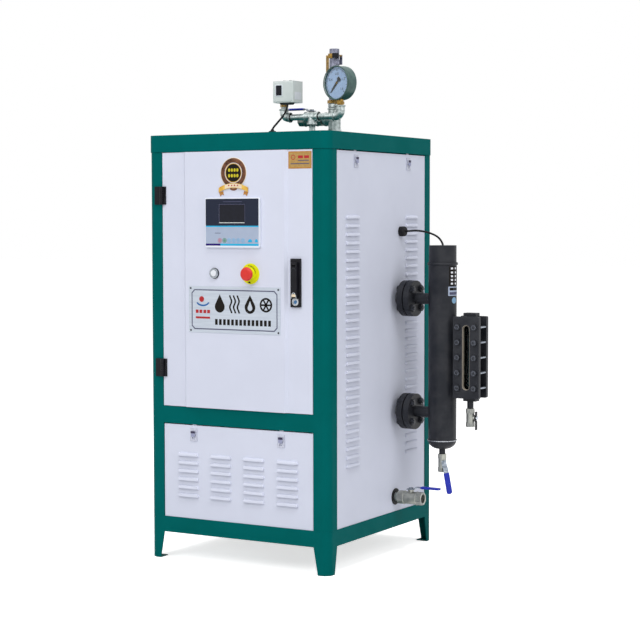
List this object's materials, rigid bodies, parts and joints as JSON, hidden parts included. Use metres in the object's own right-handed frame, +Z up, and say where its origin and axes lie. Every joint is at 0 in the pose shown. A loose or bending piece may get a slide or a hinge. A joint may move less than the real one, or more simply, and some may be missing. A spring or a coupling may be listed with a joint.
{
  "type": "electric steam boiler",
  "caption": "Upright electric steam boiler in a louvred sheet cabinet with a hinged door, side water column and sight glass, top gauge, safety valve and ball valves.",
  "frame": {"origin": "centre of the object's outline on the floor, under the feet's soles", "axes": "+Z up, -Y towards the door's side, +X towards the water column's side"},
  "size_m": [0.8995, 0.729, 1.528],
  "materials": {
    "green_paint": "semi-gloss powder coat",
    "white_paint": "semi-gloss powder coat",
    "inner_steel": "zinc-chromated sheet, satin",
    "zinc_steel": "galvanised, satin",
    "stainless": "satin",
    "black_metal": "satin black",
    "dark_paint": "satin dark grey",
    "cast_stainless": "cast, satin",
    "lever_blue": "plastic-dipped lever",
    "black_plastic": "satin",
    "red_plastic": "satin",
    "yellow_plastic": "satin",
    "light_plastic": "satin",
    "plate_film": "satin printed plate",
    "vessel_steel": "primer",
    "jacket_cloth": "mineral wool under foil",
    "tank_steel": "satin sheet",
    "pump_paint": "enamel",
    "gauge_paint": "satin enamel",
    "gauge_glass": "clear",
    "sight_glass": "clear",
    "brass": "turned",
    "rubber": "matt",
    "grey_paint": "cast, satin"
  },
  "bodies": {
    "cabinet": {"base_frame": "green_paint", "post_frame": "green_paint", "top_cap": "green_paint", "left_panel": "white_paint", "right_panel": "white_paint", "back_panel": "white_paint", "lower_front_panel": "white_paint", "catch_housings": "zinc_steel", "post_hinge_leaves": "black_metal", "equipment_plate": "inner_steel", "contactors": "light_plastic", "boiler_vessel": "vessel_steel", "vessel_jacket": "jacket_cloth", "heater_bundle": "stainless", "water_tank": "tank_steel", "feed_pump": "pump_paint", "inner_pipes": "zinc_steel", "flange_bolts": "black_metal", "water_column": "dark_paint", "column_cover": "dark_paint", "level_probes": "stainless", "sight_chamber": "dark_paint", "sight_plates": "dark_paint", "sight_glass": "sight_glass", "sight_studs": "black_metal", "drain_valve_bodies": "cast_stainless", "main_valve_bodies": "cast_stainless", "gauge_manifold": "zinc_steel", "pressure_controller": "light_plastic", "gauge_case": "gauge_paint", "gauge_lens": "gauge_glass", "steam_riser": "zinc_steel", "safety_body": "grey_paint", "sensor_leads": "rubber", "rubber_bushes": "rubber"},
    "front_catch_left": {"front_catch_left": "zinc_steel"},
    "front_catch_right": {"front_catch_right": "zinc_steel"},
    "side_catch_front": {"side_catch_front": "zinc_steel"},
    "side_catch_rear": {"side_catch_rear": "zinc_steel"},
    "door": {"door": "white_paint", "door_hinge_leaves": "black_metal", "lock_plate": "black_metal", "controller_unit": "light_plastic", "lamp_bezel": "stainless", "stop_collar": "yellow_plastic", "nameplate": "plate_film"},
    "lock_spindle": {"lock_spindle": "black_metal"},
    "lock_handle": {"lock_handle": "black_metal"},
    "lock_barrel": {"lock_barrel": "stainless"},
    "lamp_button": {"lamp_button": "light_plastic"},
    "stop_plunger": {"stop_plunger": "black_plastic"},
    "stop_head": {"stop_head": "red_plastic"},
    "pump_rotor": {"pump_rotor": "stainless"},
    "column_drain_lever": {"column_drain_lever": "lever_blue"},
    "sight_drain_lever": {"sight_drain_lever": "black_plastic"},
    "blowdown_lever": {"blowdown_lever": "lever_blue"},
    "steam_lever": {"steam_lever": "lever_blue"},
    "gauge_needle": {"gauge_needle": "black_metal"},
    "safety_stem": {"safety_stem": "grey_paint"},
    "safety_lever": {"safety_lever": "brass"}
  },
  "joints": [
    {"name": "door_swing", "type": "hinge", "parent": "cabinet", "child": "door", "pos_m": [-0.39675, -0.3333, 0.834], "axis": [0, 0, -1], "range_deg": [0, 110]},
    {"name": "lock_turn", "type": "hinge", "parent": "door", "child": "lock_spindle", "pos_m": [0.0645, -0.3335, 0.8855], "axis": [0, -1, 0], "range_deg": [0, 90]},
    {"name": "lock_lift", "type": "hinge", "parent": "lock_spindle", "child": "lock_handle", "pos_m": [0.0645, -0.3389, 0.8855], "axis": [-1, 0, 0], "range_deg": [0, 60]},
    {"name": "lock_barrel_turn", "type": "hinge", "parent": "door", "child": "lock_barrel", "pos_m": [0.0645, -0.3335, 0.7775], "axis": [0, -1, 0], "range_deg": [0, 90]},
    {"name": "lamp_push", "type": "slide", "parent": "door", "child": "lamp_button", "axis": [0, 1, 0], "range_m": [0, 0.003], "stiffness_N_per_m": 600},
    {"name": "stop_push", "type": "slide", "parent": "door", "child": "stop_plunger", "axis": [0, 1, 0], "range_m": [0, 0.005]},
    {"name": "stop_twist", "type": "hinge", "parent": "stop_plunger", "child": "stop_head", "pos_m": [-0.0845, -0.3545, 0.8555], "axis": [0, 1, 0], "range_deg": [0, 45], "stiffness_Nm_per_rad": 0.05},
    {"name": "front_catch_left_slide", "type": "slide", "parent": "cabinet", "child": "front_catch_left", "axis": [0, 0, -1], "range_m": [0, 0.012], "stiffness_N_per_m": 150, "springref_m": -0.006},
    {"name": "front_catch_right_slide", "type": "slide", "parent": "cabinet", "child": "front_catch_right", "axis": [0, 0, -1], "range_m": [0, 0.012], "stiffness_N_per_m": 150, "springref_m": -0.006},
    {"name": "side_catch_front_slide", "type": "slide", "parent": "cabinet", "child": "side_catch_front", "axis": [0, 0, -1], "range_m": [0, 0.012], "stiffness_N_per_m": 150, "springref_m": -0.006},
    {"name": "side_catch_rear_slide", "type": "slide", "parent": "cabinet", "child": "side_catch_rear", "axis": [0, 0, -1], "range_m": [0, 0.012], "stiffness_N_per_m": 150, "springref_m": -0.006},
    {"name": "column_drain_turn", "type": "hinge", "parent": "cabinet", "child": "column_drain_lever", "pos_m": [0.3155, 0.1015, 0.283], "axis": [0.7071, -0.7071, 0], "range_deg": [-10, 80]},
    {"name": "sight_drain_turn", "type": "hinge", "parent": "cabinet", "child": "sight_drain_lever", "pos_m": [0.4075, 0.1015, 0.424], "axis": [1, 0, 0], "range_deg": [0, 90]},
    {"name": "blowdown_turn", "type": "hinge", "parent": "cabinet", "child": "blowdown_lever", "pos_m": [0.2205, 0.0835, 0.172], "axis": [0, 0, -1], "range_deg": [0, 90]},
    {"name": "steam_turn", "type": "hinge", "parent": "cabinet", "child": "steam_lever", "pos_m": [-0.1115, 0.0615, 1.316], "axis": [0, 0, -1], "range_deg": [0, 90]},
    {"name": "gauge_turn", "type": "hinge", "parent": "cabinet", "child": "gauge_needle", "pos_m": [0.0345, -0.0185, 1.417], "axis": [0.2334, 0.9724, 0], "range_deg": [0, 270], "stiffness_Nm_per_rad": 0.0005},
    {"name": "pump_spin", "type": "hinge", "parent": "cabinet", "child": "pump_rotor", "pos_m": [-0.1195, -0.18828, 0.207], "axis": [1, 0, 0], "continuous": true},
    {"name": "safety_lever_lift", "type": "hinge", "parent": "cabinet", "child": "safety_lever", "pos_m": [-0.0125, 0.0615, 1.5067], "axis": [0, 1, 0], "range_deg": [0, 12], "stiffness_Nm_per_rad": 20},
    {"name": "safety_stem_lift", "type": "slide", "parent": "cabinet", "child": "safety_stem", "axis": [0, 0, 1], "range_m": [0, 0.007]}
  ],
  "couplings": [
    {"joint": "safety_stem_lift", "follows": "safety_lever_lift", "m_per_rad": 0.0334}
  ]
}
